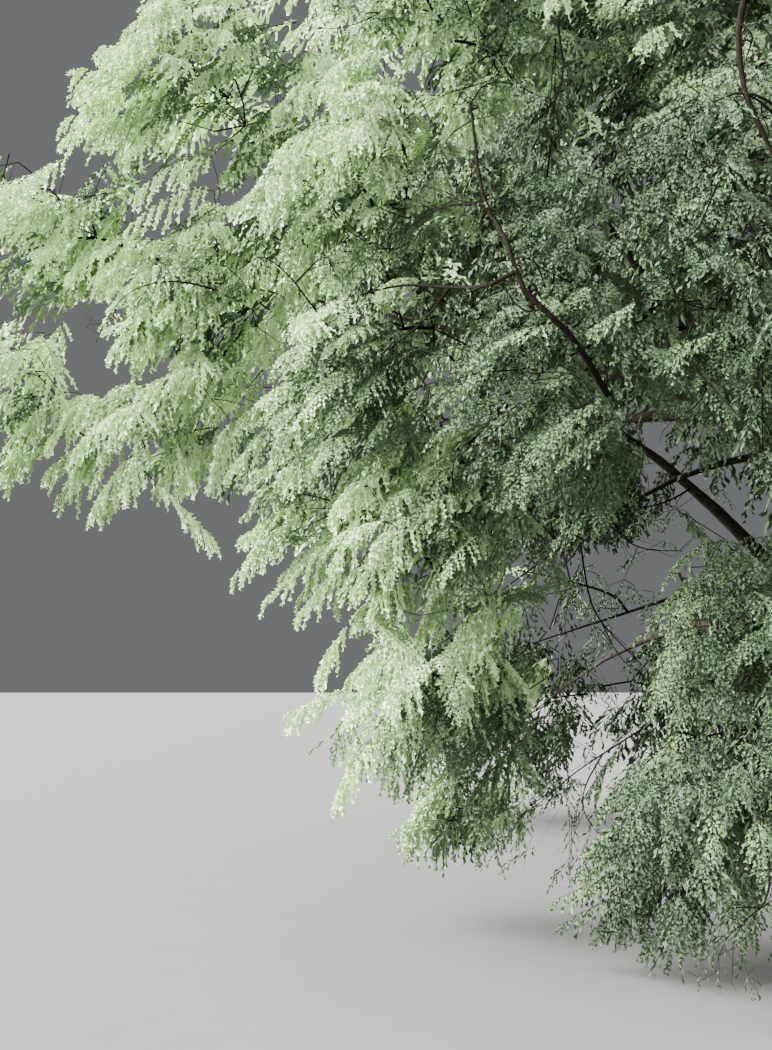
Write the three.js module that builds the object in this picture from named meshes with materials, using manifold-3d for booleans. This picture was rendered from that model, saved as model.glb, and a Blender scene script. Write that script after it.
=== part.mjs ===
// A wide, low-branched cedar with drooping plumes: trunk, main boughs and masses of foliage.
//
// Millimetres, +Z up. The origin is the middle of the flat cut under the trunk, on level ground.
// -Y is the front, the side that is seen close to, and -X is its sunlit left side.
// A bearing is an angle in degrees round the trunk, seen from above: 0 is +X and 90 is +Y.

import * as THREE from 'three';
import * as BufferGeometryUtils from 'three/addons/utils/BufferGeometryUtils.js';
import Module from 'manifold-3d';

const wasm = await Module();
wasm.setup();

// Gap between a solid and the neighbour that it is cut round.
const GAP = 0.4;

// Trunk: one leader from the ground to the tip of the crown.
const TRUNK_HEIGHT = 13450;
const TRUNK_RADIUS = 330;
const TRUNK_TIP_RADIUS = 14;
const TRUNK_TAPER_POWER = 0.85;
const TRUNK_LEAN = 260;
const TRUNK_SWEEP = 90;
const TRUNK_SIDES = 15;
const TRUNK_RINGS = 14;
const TRUNK_RING_CROWDING = 1.7;
const FLARE_SPREAD = 0.62;
const FLARE_HEIGHT = 420;
const FLARE_TOES = 5;
const FLARE_TOE_DEPTH = 0.2;

// Boughs: round tapering limbs with a swollen collar where they leave the trunk.
const BOUGH_SIDES = 6;
const BOUGH_RINGS = 6;
const BOUGH_TIP_SHARE = 0.42;
const COLLAR_SWELL = 0.35;
const COLLAR_LENGTH_SHARE = 0.12;
const BOUGH_END_SHARE = 0.6;
const CURVE_STEPS = 4;

// Masses: uneven lobes, fuller above, with hanging tongues below and a tip that droops.
const SHOWN_SIDES = 10;
const SHOWN_BANDS = 7;
const ARC_SIDES = 9;
const ARC_BANDS = 5;
const WAVES = 4;
const WAVE_NUMBER = 2.6;
const UNEVENNESS = 0.2;
const SHOWN_PEAR = 0.08;
const ARC_PEAR = 0.2;
const TIP_PEAR = 0.5;
const TONGUES = 5;
const TONGUE_DEPTH = 0.26;
const LOWEST_LEAF = 12;
const GOLDEN_ANGLE = Math.PI * (3 - Math.sqrt(5));

// Vertices closer together than this are one.
const MERGE_WITHIN = 1e-4;

const ROUGHNESS = 0.9;
const COLOURS = { bark: '#5d5148', bough: '#51473f', foliage: '#7d8a76', shade: '#5f6b5b' };

// The masses of the front left, which is the side seen close to. Each has its middle at so far left
// of, in front of and above the foot of the trunk, a size across, through and up, and an outer end
// that droops.
const SHOWN_MASSES = [
  { name: 'mass_left_shelf', at: [6450, 2830, 4620], size: [1620, 1900, 680], droop: 200 },
  { name: 'mass_left_low', at: [6560, 2880, 3480], size: [920, 1700, 1020], droop: 120 },
  { name: 'mass_left_mid', at: [5270, 2900, 4130], size: [1240, 2100, 1680], droop: 160 },
  { name: 'mass_left_pendant', at: [5620, 3030, 3140], size: [1200, 1500, 960], droop: 90 },
  { name: 'mass_left_high', at: [5220, 3200, 5600], size: [1760, 2200, 1600], droop: 260 },
  { name: 'mass_bright_high', at: [4040, 3830, 4640], size: [1460, 1900, 1560], droop: 120 },
  { name: 'mass_bright_low', at: [4130, 3720, 3420], size: [1360, 1700, 1420], droop: 100 },
  { name: 'mass_hanging_sprays', at: [4450, 3550, 2440], size: [800, 1100, 820], droop: 120 },
  { name: 'mass_curtain_high', at: [3640, 3600, 2430], size: [1540, 1500, 1380], droop: 60 },
  { name: 'mass_curtain_low', at: [3640, 3420, 1390], size: [1500, 1400, 1300], droop: 40 },
  { name: 'mass_curtain_hem', at: [3430, 3000, 640], size: [940, 1100, 760], droop: 0 },
  { name: 'mass_dark_middle', at: [2990, 4500, 3500], size: [1400, 1800, 2300], droop: 60 },
  { name: 'mass_dark_right', at: [2050, 5050, 3940], size: [1450, 2000, 2050], droop: 60 },
  { name: 'mass_front_high', at: [3600, 4050, 5900], size: [2000, 2300, 1900], droop: 120 },
  { name: 'mass_right_high', at: [1950, 4600, 5900], size: [2000, 2500, 2000], droop: 120 },
  { name: 'mass_right_veil', at: [1850, 4460, 1760], size: [1250, 1300, 1250], droop: 40 },
  { name: 'mass_right_skirt', at: [2050, 4560, 600], size: [1900, 2000, 1300], droop: 40 },
];

// Arcs of masses that finish the crown on the other sides. Each runs from one bearing to another, at
// so far out from the trunk and up, with sizes out from the trunk, round it and up. The lower arcs
// leave a gap at the back, where the sky shows under the crown.
const MASS_ARCS = [
  {
    name: 'mass_skirt', count: 7, bearings: [271, 485],
    at: [4900, 1220], size: [2600, 3300, 2500], droop: 300,
  },
  {
    name: 'mass_lower', count: 4, bearings: [268, 414],
    at: [5100, 3720], size: [3100, 4600, 2350], droop: 380,
  },
  {
    name: 'mass_back', count: 3, bearings: [470, 543],
    at: [5100, 4000], size: [2900, 3500, 2100], droop: 340,
  },
  {
    name: 'mass_middle', count: 5, bearings: [276, 530],
    at: [4100, 6050], size: [3500, 4600, 2500], droop: 420,
  },
  {
    name: 'mass_upper', count: 5, bearings: [196, 484],
    at: [2800, 8050], size: [3500, 3800, 2650], droop: 460,
  },
  {
    name: 'mass_crown', count: 3, bearings: [214, 454],
    at: [1700, 10150], size: [3000, 3500, 2800], droop: 420,
  },
];
const ARC_VARIETY = 0.08;
const SEEDS_PER_ARC = 10;
const TIP_SEED = 0;

const TIP_MASS = { name: 'mass_tip', up: 11980, size: [2500, 2500, 3300] };

// The boughs of the front left, by the height where each leaves the trunk, its radius there, how far
// its middle is arched up (or, below zero, sags) and the place left of, in front of and above the foot
// of the trunk where it ends, just inside a mass.
const SHOWN_BOUGHS = [
  { name: 'bough_front_rising', leaves: 2200, radius: 76, arch: 300, end: [3600, 3600, 3800] },
  { name: 'bough_front_falling', leaves: 3700, radius: 46, arch: 250, end: [3200, 3500, 2100] },
  { name: 'bough_front_lowest', leaves: 2750, radius: 32, arch: 0, end: [3250, 3100, 1700] },
  { name: 'bough_front_steep', leaves: 3350, radius: 96, arch: -150, end: [3200, 3900, 5500] },
  { name: 'bough_right_steep', leaves: 4650, radius: 64, arch: 50, end: [1900, 4200, 6200] },
  { name: 'bough_left', leaves: 3800, radius: 84, arch: 140, end: [4900, 2750, 4350] },
  { name: 'bough_left_steep', leaves: 4450, radius: 78, arch: 60, end: [4900, 3000, 5450] },
];

// The other boughs enter masses of the arcs, from one place in an arc on, at every so many masses.
const ARC_BOUGHS = [
  { arc: 'mass_skirt', every: 3, first: 0, leaves: 2050, radius: 78, arch: 420 },
  { arc: 'mass_lower', every: 2, first: 1, leaves: 3000, radius: 104, arch: 120 },
  { arc: 'mass_back', every: 2, first: 1, leaves: 4050, radius: 92, arch: 200 },
  { arc: 'mass_middle', every: 3, first: 2, leaves: 4950, radius: 92, arch: 60 },
];

function radians(degrees) {
  return THREE.MathUtils.degToRad(degrees);
}

function leftFrontUp([left, front, up]) {
  return new THREE.Vector3(-left, -front, up);
}

function bare(geometry) {
  geometry.deleteAttribute('normal');
  geometry.deleteAttribute('uv');
  return BufferGeometryUtils.mergeVertices(geometry, MERGE_WITHIN);
}

function moveVertices(geometry, place) {
  const position = geometry.getAttribute('position');
  const point = new THREE.Vector3();
  for (let i = 0; i < position.count; i += 1) {
    point.fromBufferAttribute(position, i);
    const moved = place(point);
    position.setXYZ(i, moved.x, moved.y, moved.z);
  }
  return geometry;
}

function trunkAxis(height) {
  const share = height / TRUNK_HEIGHT;
  const sweep = TRUNK_SWEEP * Math.sin(share * Math.PI * 2);
  return new THREE.Vector3(-TRUNK_LEAN * share ** 2 + sweep * share, sweep, height);
}

function trunkRadius(height, bearing) {
  const share = height / TRUNK_HEIGHT;
  const plain = THREE.MathUtils.lerp(TRUNK_TIP_RADIUS, TRUNK_RADIUS, (1 - share) ** TRUNK_TAPER_POWER);
  const flare = FLARE_SPREAD * Math.exp(-height / FLARE_HEIGHT);
  const toes = 1 + FLARE_TOE_DEPTH * Math.cos(FLARE_TOES * bearing) * Math.exp(-height / FLARE_HEIGHT);
  return plain * (1 + flare) * toes;
}

// A unit cylinder whose rings are set closer together near the ground, for the root flare.
function trunkShape(grow) {
  const unit = bare(new THREE.CylinderGeometry(1, 1, 1, TRUNK_SIDES, TRUNK_RINGS));
  return moveVertices(unit, (point) => {
    const share = (point.y + 0.5) ** TRUNK_RING_CROWDING;
    const height = share * TRUNK_HEIGHT;
    const bearing = Math.atan2(-point.z, point.x);
    const spread = Math.hypot(point.x, point.z);
    const radius = (trunkRadius(height, bearing) + grow) * Math.min(spread, 1);
    const axis = trunkAxis(height);
    const overrun = height === 0 ? -grow : 0;
    return new THREE.Vector3(
      axis.x + radius * Math.cos(bearing),
      axis.y + radius * Math.sin(bearing),
      axis.z + overrun,
    );
  });
}

// A round limb along a curve. It is thickest at its collar and tapers to its tip.
function limbShape(curve, radius, grow) {
  const unit = bare(new THREE.CylinderGeometry(1, 1, 1, BOUGH_SIDES, BOUGH_RINGS));
  const frames = curve.computeFrenetFrames(BOUGH_RINGS, false);
  return moveVertices(unit, (point) => {
    const share = point.y + 0.5;
    const ring = Math.round(share * BOUGH_RINGS);
    const taper = THREE.MathUtils.lerp(1, BOUGH_TIP_SHARE, share);
    const collar = 1 + COLLAR_SWELL * Math.exp(-share / COLLAR_LENGTH_SHARE);
    const thick = radius * taper * collar + grow;
    const centre = curve.getPointAt(share);
    const end = share === 0 ? -grow : share === 1 ? grow : 0;
    return centre
      .addScaledVector(frames.tangents[ring], end)
      .addScaledVector(frames.normals[ring], point.x * thick)
      .addScaledVector(frames.binormals[ring], -point.z * thick);
  });
}

function bough({ name, leaves, radius, arch }, end) {
  const start = trunkAxis(leaves);
  const points = [];
  for (let step = 0; step <= CURVE_STEPS; step += 1) {
    const share = step / CURVE_STEPS;
    const point = new THREE.Vector3().lerpVectors(start, end, share);
    point.z += arch * Math.sin(share * Math.PI);
    points.push(point);
  }
  const curve = new THREE.CatmullRomCurve3(points);
  return { name, colour: COLOURS.bough, shape: (grow) => limbShape(curve, radius, grow) };
}

// A smooth unevenness between -1 and 1 over the directions of a sphere, different for each seed.
function unevenness(direction, seed) {
  let sum = 0;
  for (let wave = 1; wave <= WAVES; wave += 1) {
    const turn = GOLDEN_ANGLE * (seed * WAVES + wave);
    const axis = new THREE.Vector3(Math.cos(turn), Math.sin(turn), Math.cos(turn * wave));
    sum += Math.sin(direction.dot(axis) * WAVE_NUMBER * Math.sqrt(wave) + turn);
  }
  return sum / WAVES;
}

function tongue(direction, seed) {
  const round = Math.atan2(direction.y, direction.x);
  const below = Math.max(0, -direction.z);
  return 1 + TONGUE_DEPTH * below * Math.cos(TONGUES * round + seed);
}

// Sizes are half sizes: out along the mass's own x, round along y and up along z.
function massShape(mass, grow) {
  const unit = bare(new THREE.SphereGeometry(1, mass.sides, mass.bands)).rotateX(Math.PI / 2);
  const direction = new THREE.Vector3();
  moveVertices(unit, (point) => {
    direction.copy(point).normalize();
    const swell = 1 + UNEVENNESS * unevenness(direction, mass.seed);
    const spread = swell * (1 - mass.pear * direction.z);
    const out = direction.x * mass.half.x * spread;
    const round = direction.y * mass.half.y * spread;
    const up = direction.z * mass.half.z * swell * tongue(direction, mass.seed);
    const droop = mass.droop * Math.max(0, out / mass.half.x) ** 2;
    return new THREE.Vector3(out, round, up - droop);
  });
  unit.rotateZ(mass.turn);
  unit.translate(mass.middle.x, mass.middle.y, mass.middle.z);
  moveVertices(unit, (point) => new THREE.Vector3(point.x, point.y, Math.max(point.z, LOWEST_LEAF)));
  return grow === 0 ? unit : swollen(unit, grow);
}

function swollen(geometry, grow) {
  geometry.computeVertexNormals();
  const position = geometry.getAttribute('position');
  const normal = geometry.getAttribute('normal');
  for (let i = 0; i < position.count; i += 1) {
    position.setXYZ(
      i,
      position.getX(i) + normal.getX(i) * grow,
      position.getY(i) + normal.getY(i) * grow,
      position.getZ(i) + normal.getZ(i) * grow,
    );
  }
  geometry.deleteAttribute('normal');
  return geometry;
}

function shownMasses() {
  return SHOWN_MASSES.map((entry, index) => ({
    name: entry.name,
    seed: index + 1,
    middle: leftFrontUp(entry.at),
    half: new THREE.Vector3(...entry.size).divideScalar(2),
    turn: Math.PI,
    droop: entry.droop,
    pear: SHOWN_PEAR,
    sides: SHOWN_SIDES,
    bands: SHOWN_BANDS,
  }));
}

// A size that differs a little from mass to mass. Each trait, from 1 up, varies on its own.
function varied(size, seed, trait) {
  return size * (1 + ARC_VARIETY * Math.sin(seed * GOLDEN_ANGLE * (trait + 1)));
}

function arcMass(arc, share, name, seed) {
  const [firstBearing, lastBearing] = arc.bearings;
  const [reach, up] = arc.at;
  const [out, round, tall] = arc.size;
  const bearing = radians(THREE.MathUtils.lerp(firstBearing, lastBearing, share));
  const middle = trunkAxis(up);
  middle.x += varied(reach, seed, 1) * Math.cos(bearing);
  middle.y += varied(reach, seed, 1) * Math.sin(bearing);
  const size = new THREE.Vector3(varied(out, seed, 2), varied(round, seed, 3), varied(tall, seed, 4));
  return {
    name,
    seed,
    middle,
    half: size.divideScalar(2),
    turn: bearing,
    droop: arc.droop,
    pear: ARC_PEAR,
    sides: ARC_SIDES,
    bands: ARC_BANDS,
  };
}

function arcMasses(arc, arcIndex) {
  const firstSeed = SHOWN_MASSES.length + arcIndex * SEEDS_PER_ARC;
  return Array.from({ length: arc.count }, (_, i) =>
    arcMass(arc, i / (arc.count - 1), `${arc.name}_${i + 1}`, firstSeed + i),
  );
}

function tipMass() {
  return {
    name: TIP_MASS.name,
    seed: TIP_SEED,
    middle: trunkAxis(TIP_MASS.up),
    half: new THREE.Vector3(...TIP_MASS.size).divideScalar(2),
    turn: 0,
    droop: 0,
    pear: TIP_PEAR,
    sides: SHOWN_SIDES,
    bands: SHOWN_BANDS,
  };
}

// A bough of the arcs ends a little way inside its mass, on the side that faces the trunk.
function boughEnd(mass) {
  const towards = trunkAxis(mass.middle.z).sub(mass.middle).setZ(0).normalize();
  const outFromMiddle = BOUGH_END_SHARE * Math.min(mass.half.x, mass.half.y);
  return mass.middle.clone().addScaledVector(towards, outFromMiddle);
}

function allBoughs(masses) {
  const byName = new Map(masses.map((mass) => [mass.name, mass]));
  const boughs = SHOWN_BOUGHS.map((entry) => bough(entry, leftFrontUp(entry.end)));
  for (const rule of ARC_BOUGHS) {
    const arc = MASS_ARCS.find((entry) => entry.name === rule.arc);
    for (let i = rule.first; i < arc.count; i += rule.every) {
      const mass = byName.get(`${arc.name}_${i + 1}`);
      boughs.push(bough({ ...rule, name: mass.name.replace('mass', 'bough') }, boughEnd(mass)));
    }
  }
  return boughs;
}

function solidOf(geometry) {
  const vertProperties = Float32Array.from(geometry.getAttribute('position').array);
  const triVerts = Uint32Array.from(geometry.getIndex().array);
  return new wasm.Manifold(new wasm.Mesh({ numProp: 3, vertProperties, triVerts }));
}

function meshOf(solid, { name, colour }) {
  const { vertProperties, triVerts } = solid.getMesh();
  const geometry = new THREE.BufferGeometry();
  geometry.setAttribute('position', new THREE.BufferAttribute(Float32Array.from(vertProperties), 3));
  geometry.setIndex(new THREE.BufferAttribute(Uint32Array.from(triVerts), 1));
  const material = new THREE.MeshStandardMaterial({ color: colour, roughness: ROUGHNESS, metalness: 0 });
  const mesh = new THREE.Mesh(geometry, material);
  mesh.name = name;
  return mesh;
}

function boxOf(geometry) {
  geometry.computeBoundingBox();
  return geometry.boundingBox.clone();
}

function biggestPiece(solid) {
  return solid.decompose().reduce((best, piece) => (piece.volume() > best.volume() ? piece : best));
}

// Each part is cut round all the parts before it.
function cutRound(parts) {
  const earlier = [];
  return parts.map((part) => {
    const geometry = part.shape(0);
    const box = boxOf(geometry);
    let solid = solidOf(geometry);
    for (const other of earlier) {
      if (box.intersectsBox(other.box)) {
        solid = solid.subtract(other.grown);
      }
    }
    const grownGeometry = part.shape(GAP);
    earlier.push({ box: boxOf(grownGeometry), grown: solidOf(grownGeometry) });
    return meshOf(biggestPiece(solid), part);
  });
}

function buildTree() {
  const masses = [...shownMasses(), ...MASS_ARCS.flatMap(arcMasses), tipMass()];
  const parts = [
    { name: 'trunk', colour: COLOURS.bark, shape: trunkShape },
    ...allBoughs(masses),
    ...masses.map((mass) => ({
      name: mass.name,
      colour: mass.middle.x < 0 ? COLOURS.foliage : COLOURS.shade,
      shape: (grow) => massShape(mass, grow),
    })),
  ];
  const tree = new THREE.Group();
  tree.name = 'cedar_tree';
  tree.add(...cutRound(parts));
  return tree;
}

export default buildTree();
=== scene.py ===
# A wide, low-branched cedar with drooping plumes, grown around its CAD limbs and masses.
#
# Metres, +Z up. The origin is the foot of the trunk, -Y is the side seen close to and -X its sunlit
# left. Each mass is replaced by branches, twigs and sprays of needled shoots that grow on from the
# limbs by seeded rules. Sprays are finest where they are seen close to, and larger elsewhere.
import math

import bpy
import numpy as np
from numpy.linalg import norm
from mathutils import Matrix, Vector, noise
from mathutils.bvhtree import BVHTree


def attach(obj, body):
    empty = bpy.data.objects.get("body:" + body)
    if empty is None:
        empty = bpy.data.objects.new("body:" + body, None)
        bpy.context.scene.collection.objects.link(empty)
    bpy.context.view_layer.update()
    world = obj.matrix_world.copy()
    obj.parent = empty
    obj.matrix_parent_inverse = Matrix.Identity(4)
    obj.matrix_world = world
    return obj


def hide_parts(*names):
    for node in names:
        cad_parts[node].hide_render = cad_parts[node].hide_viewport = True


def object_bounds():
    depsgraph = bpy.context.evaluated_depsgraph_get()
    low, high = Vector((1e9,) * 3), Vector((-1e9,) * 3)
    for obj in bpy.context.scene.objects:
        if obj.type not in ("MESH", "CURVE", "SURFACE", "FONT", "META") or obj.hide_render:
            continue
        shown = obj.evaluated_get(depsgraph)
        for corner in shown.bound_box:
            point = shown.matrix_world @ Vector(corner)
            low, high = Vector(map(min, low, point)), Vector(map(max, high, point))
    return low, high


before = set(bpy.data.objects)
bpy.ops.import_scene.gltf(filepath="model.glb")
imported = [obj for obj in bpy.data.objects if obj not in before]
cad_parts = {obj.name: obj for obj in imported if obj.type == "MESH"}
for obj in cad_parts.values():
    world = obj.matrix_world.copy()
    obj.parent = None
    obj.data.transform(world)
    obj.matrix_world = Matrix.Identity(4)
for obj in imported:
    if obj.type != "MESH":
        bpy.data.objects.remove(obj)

CAD_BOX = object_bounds()
SEED = 1907
random = np.random.default_rng(SEED)
UP = np.array([0.0, 0.0, 1.0])
DOWN = -UP

# The camera stands on open ground, at eye height. The photograph is an upright one.
CAMERA_PLACE = np.array([-3.9, -11.5, 1.5])
CAMERA_PITCH = math.radians(7.4)
CAMERA_LENS = 43.44
SENSOR = 36.0
PHOTO_WIDTH = 772
PHOTO_HEIGHT = 1050
FOCAL = CAMERA_LENS / SENSOR * PHOTO_HEIGHT
AHEAD = np.array([0, math.cos(CAMERA_PITCH), math.sin(CAMERA_PITCH)])
ABOVE = np.array([0, -math.sin(CAMERA_PITCH), math.cos(CAMERA_PITCH)])

# Scales of the sprays: finest where they are seen close to, larger far off, at the edge and hidden.
FINE_DEPTH = 8.0
FAR_GROWTH = 0.6
FINEST = 0.82
FINE_SCALE = 1.2
COARSEST = 2.75
FRAME_MARGIN = 1.08
EDGE_BLEND = 0.4
EDGE_POWER = 1.3
SEEN_THROUGH = 0.5
HIDDEN_BLEND = 0.6
HIDDEN_SHARE = 0.42
INNER_HIDDEN_SHARE = 0.6
TOP_SCALE = 0.7

# Sprays: a drooping axis with shoots on both sides.
SPRAY_SPACING = 0.165
SPACING_POWER = 0.9
SPRAY_LENGTHS = (0.28, 0.50)
SPRAY_DROOPS = (0.22, 0.60)
SPRAY_OUTWARD = 0.8
SPRAY_SQUARE = 0.65
SPRAY_DOWNWARD = 0.22
SPRAY_SPREAD = 0.22
SPRAY_SLOPES = (-0.8, 0.35)
FLATTER = np.array([1.0, 1.0, 0.6])
BASE_HEIGHT = 0.08
TIP_HEIGHT = 0.03
MOST_RISE = 0.3
HANGS = (0.15, 0.65)
TIP_INSET = 0.13
SKIN = 0.01
SUNK_SHARE = 0.4
SUNK_DEPTHS = (0.1, 0.35)
COVERED_SHARE = 0.2
CANDIDATES = 3.2
LOWEST = 0.012

# Spacings of the sprays inside the masses, along the boughs and between the masses.
INNER_SPACING = 0.33
LIMB_SPRAY_SPACING = 0.10
FILLING_SPACING = 0.20

# Light sprays and plumes with long, cord-like shoots, where they are seen close to.
CORD_SHARE = 0.6
CORD_TONE = 0.55
CORD_HANGS = (0.7, 1.7)
LONG_FINGER = 1.5
LONG_FINGER_TONE = 0.66

# Detail by scale: the largest scale, shoots to a spray, tufts to a shoot, places along its twig.
DETAILS = ((0.7, 9, 8, 5), (FINE_SCALE, 21, 15, 7), (2.0, 16, 8, 5), (9.0, 13, 5, 3))
CORD_DETAIL = (15, 18)
SHOOT_LENGTH = 0.125
SHOOT_RADIUS = 0.019
SHOOT_SLENDER = 0.85
SHOOT_AHEAD = 0.75
SHOOT_ASIDE = 0.85
SHOOT_SPREAD = 0.14
FIRST_SHOOT = 0.1
HANG_SHARES = (0.2, 1.0)
SHOOT_VARIATION = (0.75, 1.25)
SHOOT_DROOPS = (0.15, 0.55)
LONG_SHOOT = 1.7
LONG_SHOOT_SHARE = 0.06
TUFT_OVERLAP = 2.6
TUFT_FORWARD = 0.7
TUFT_VARIATION = (0.75, 1.2)
WHORL_TURN = 2.4
TURN_SPREAD = 0.3
CORD_RADIUS = 0.022
CORE_BLADES = 3
CORE_SHARE = 0.5

# Tones, from 0, dark, to 1, light, and what is added to them or taken off, mostly as painted sun and
# shade.
SHADED_TONE = 0.28
# Painted light: the tops of the sprays are lighter, and the sunlit left lighter still.
TOP_LIGHT_TONE = 0.18
SUNLIT_TONE = 0.44
PATCH_TONE = 0.28
TONE_SPREAD = 0.06
PLUME_TONE = 0.08
# Painted shade: sprays seen through gaps, sunk in a mass or covered by it are darker by these.
HIDDEN_SHADE_TONE = 0.2
HIDDEN_BLENDS = (0.25, 0.15)
SUNK_SHADE_TONE = 0.9
COVERED_SHADE_TONE = 0.25
# Painted shade: sprays inside a mass are darker by this.
INNER_SHADE_TONE = 0.5
# Painted shade: sprays along the boughs, between the masses and on the sprigs are darker by these.
LIMB_SHADE_TONE = 0.2
FILLING_SHADE_TONE = 0.15
SPRIG_SHADE_TONE = 0.22
PATCH_SIZE = 1.0
PATCH_SHIFT = Vector((326.4, 172.8, 441.6))

# Bearings in degrees from +X between which the crown is lighter with painted sunlight.
SUNLIT_START = 100
SUNLIT_RISE = 80
SUNLIT_END = 237
SUNLIT_BLEND = 14
# The inside of the crown is shaded, out to this share of its reach.
SHADED_REACH = 0.42
SHADED_BLEND = 0.15

# Wood: a twig's radius grows with the number of sprays that it carries.
TWIG_RADIUS = 0.0028
TIP_RADIUS = 0.0009
AXIS_SHARES = (0.35, 0.7, 1.0)
AXIS_RADII = (TWIG_RADIUS * 0.7, TWIG_RADIUS * 0.5, TIP_RADIUS)
SCALE_POWER = 0.4
THICKEST_TWIG = 0.008
THICKEST_LEADER = 0.012
LOAD_POWER = 0.35
NODE_SPACING = 0.24
LIMB_NODE_SPACING = 0.15
RUN_COST = 0.3
BEND_COST = 0.35
LEADER_ARCH = 0.1
TWIG_ARCH = 0.04
WIGGLE = 0.10
LONGEST_STRAIGHT = 0.45
SIDE_TWIGS = 5
LAST_TWIGS = 2
LAST_TWIG_RADIUS = 0.5
SIDE_TWIG_REACHES = (0.2, 0.5)
LAST_TWIG_REACHES = (0.08, 0.22)
BRANCH_TAPER = (1.0, 0.35)
WHIP_DENSITY = 4.5
WHIP_LENGTHS = (0.25, 0.65)
WHIP_RADII = (0.005, 0.0016)
WHIP_FACING = 0.45
WHIP_ROOT = 0.35
WHIP_FALL = 0.8
WHIP_BEND = 0.3
WHIP_RISE = 0.3

# Places along the wood's tubes, and their sides.
LEADER_MESH = (10, 6)
BRANCH_MESH = (16, 6)
SIDE_TWIG_MESH = (7, 3)
WHIP_MESH = (9, 3)
TWIG_SIDES = 3
MOST_TWIG_PLACES = 7

# Bark: cuts along the CAD limbs, sides and rings of the meshes, and depth and grain of the furrows.
TRUNK_CUTS = 90
BOUGH_CUTS = 24
TRUNK_MESH = (44, 170)
BOUGH_MESH = (14, 70)
TRUNK_RELIEF = (0.022, 16.0)
BOUGH_RELIEF = (0.008, 40.0)
# Boughs in the sun that keep the trunk's bark; the other boughs get a darker bark as painted shade.
SUNLIT_BOUGHS = ("bough_left", "bough_left_steep")
# Bark colours, and how fine the grain of each is. The bough and twig barks are darker as painted shade.
BARKS = {
    "bark": ((0.086, 0.075, 0.065), 14.0),
    "bough_bark": ((0.034, 0.029, 0.025), 26.0),
    "shaded_twig_bark": ((0.011, 0.0094, 0.008), 60.0),
}

# Random draws of the parts that aren't masses. The masses have the numbers from 0 on.
LIMB_DRAWS = 100
PHOTO_DRAWS = 101
WHIP_DRAWS = 102
FILLING_DRAWS = 103

PIECE_LIMIT = 190000

# Masses that are more open than the rest, as the share of their sprays that grow.
OPENNESS = {
    "mass_hanging_sprays": 0.35,
    "mass_left_pendant": 0.6,
    "mass_left_low": 0.5,
    "mass_left_shelf": 0.7,
    "mass_back_3": 0.25,
    "mass_skirt_7": 0.6,
    "mass_skirt_6": 0.7,
}
# Masses in the shade of the crown over them, or in the sun, and how much lighter they are.
LIGHTER = {
    "mass_skirt_7": -0.5,
    "mass_skirt_6": -0.5,
    "mass_back_1": -0.3,
    "mass_back_3": -0.3,
    "mass_right_skirt": -0.12,
    "mass_curtain_hem": -0.14,
    "mass_dark_middle": -0.06,
    "mass_dark_right": -0.06,
    "mass_front_high": 0.16,
    "mass_right_high": 0.2,
}
# Where the photograph shows limbs bare, in pixels across and down.
BARE_ACROSS = (520, 800)
BARE_DOWN = (430, 700)
# Masses over which bare twigs arch.
WHIPPED = ("mass_dark_middle", "mass_dark_right", "mass_front_high", "mass_right_high", "mass_bright_high",
           "mass_curtain_high", "mass_right_veil")


def reseed(number):
    """Each part of the tree has its own random draws, so a change to one leaves the others."""
    random.bit_generator.state = np.random.PCG64([SEED, number]).state


def unit(vectors):
    length = norm(vectors, axis=-1, keepdims=True)
    return vectors / np.maximum(length, 1e-9)


def between(limits, count):
    return random.uniform(limits[0], limits[1], count)


def ramp(values, start, width):
    """Rises from 0 to 1 over a width, from a start on."""
    return np.clip((values - start) / width, 0, 1)


# The frame's shapes.


def node_shape(node):
    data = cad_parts[node].data
    points = np.empty(len(data.vertices) * 3, np.float32)
    data.vertices.foreach_get("co", points)
    data.calc_loop_triangles()
    corners = np.empty(len(data.loop_triangles) * 3, np.int32)
    data.loop_triangles.foreach_get("vertices", corners)
    return points.reshape(-1, 3).astype(float), corners.reshape(-1, 3)


def section(points, corners, place, along):
    """The centre and mean radius of the cut through a limb at a place, square to a direction."""
    height = (points - place) @ along
    edges = np.concatenate([corners[:, [0, 1]], corners[:, [1, 2]], corners[:, [2, 0]]])
    low, high = height[edges[:, 0]], height[edges[:, 1]]
    crossing = (low < 0) != (high < 0)
    start, end = points[edges[crossing, 0]], points[edges[crossing, 1]]
    share = (low[crossing] / (low[crossing] - high[crossing]))[:, None]
    cut = start + (end - start) * share
    centre = cut.mean(0)
    return centre, norm(cut - centre, axis=1).mean()


def cuts_of(points, corners, places, along):
    cuts = [section(points, corners, place, along) for place in places]
    return np.array([cut[0] for cut in cuts]), np.array([cut[1] for cut in cuts])


def limb_line(node, inner=0.02, outer=0.01):
    """Centres and radii along a bough, from the trunk outwards."""
    points, corners = node_shape(node)
    middle = points.mean(0)
    along = np.linalg.svd(points - middle, full_matrices=False)[2][0]
    if np.dot(along[:2], middle[:2]) < 0:
        along = -along
    reach = (points - middle) @ along
    places = np.linspace(reach.min() + inner, reach.max() - outer, BOUGH_CUTS)
    return cuts_of(points, corners, middle + places[:, None] * along, along)


def trunk_line(lower=0.01, upper=0.02):
    points, corners = node_shape("trunk")
    heights = np.linspace(lower, points[:, 2].max() - upper, TRUNK_CUTS)
    return cuts_of(points, corners, heights[:, None] * UP, UP)


NODES = sorted(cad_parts)
BOUGHS = [node for node in NODES if node.startswith("bough")]
MASSES = [node for node in NODES if node.startswith("mass")]
TRUNK_LINE, TRUNK_RADII = trunk_line()


def trunk_axis(heights):
    return np.stack([np.interp(heights, TRUNK_LINE[:, 2], TRUNK_LINE[:, i]) for i in (0, 1)], axis=-1)


def outward(points):
    away = np.zeros_like(points)
    away[:, :2] = points[:, :2] - trunk_axis(points[:, 2])
    return unit(away)


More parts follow.
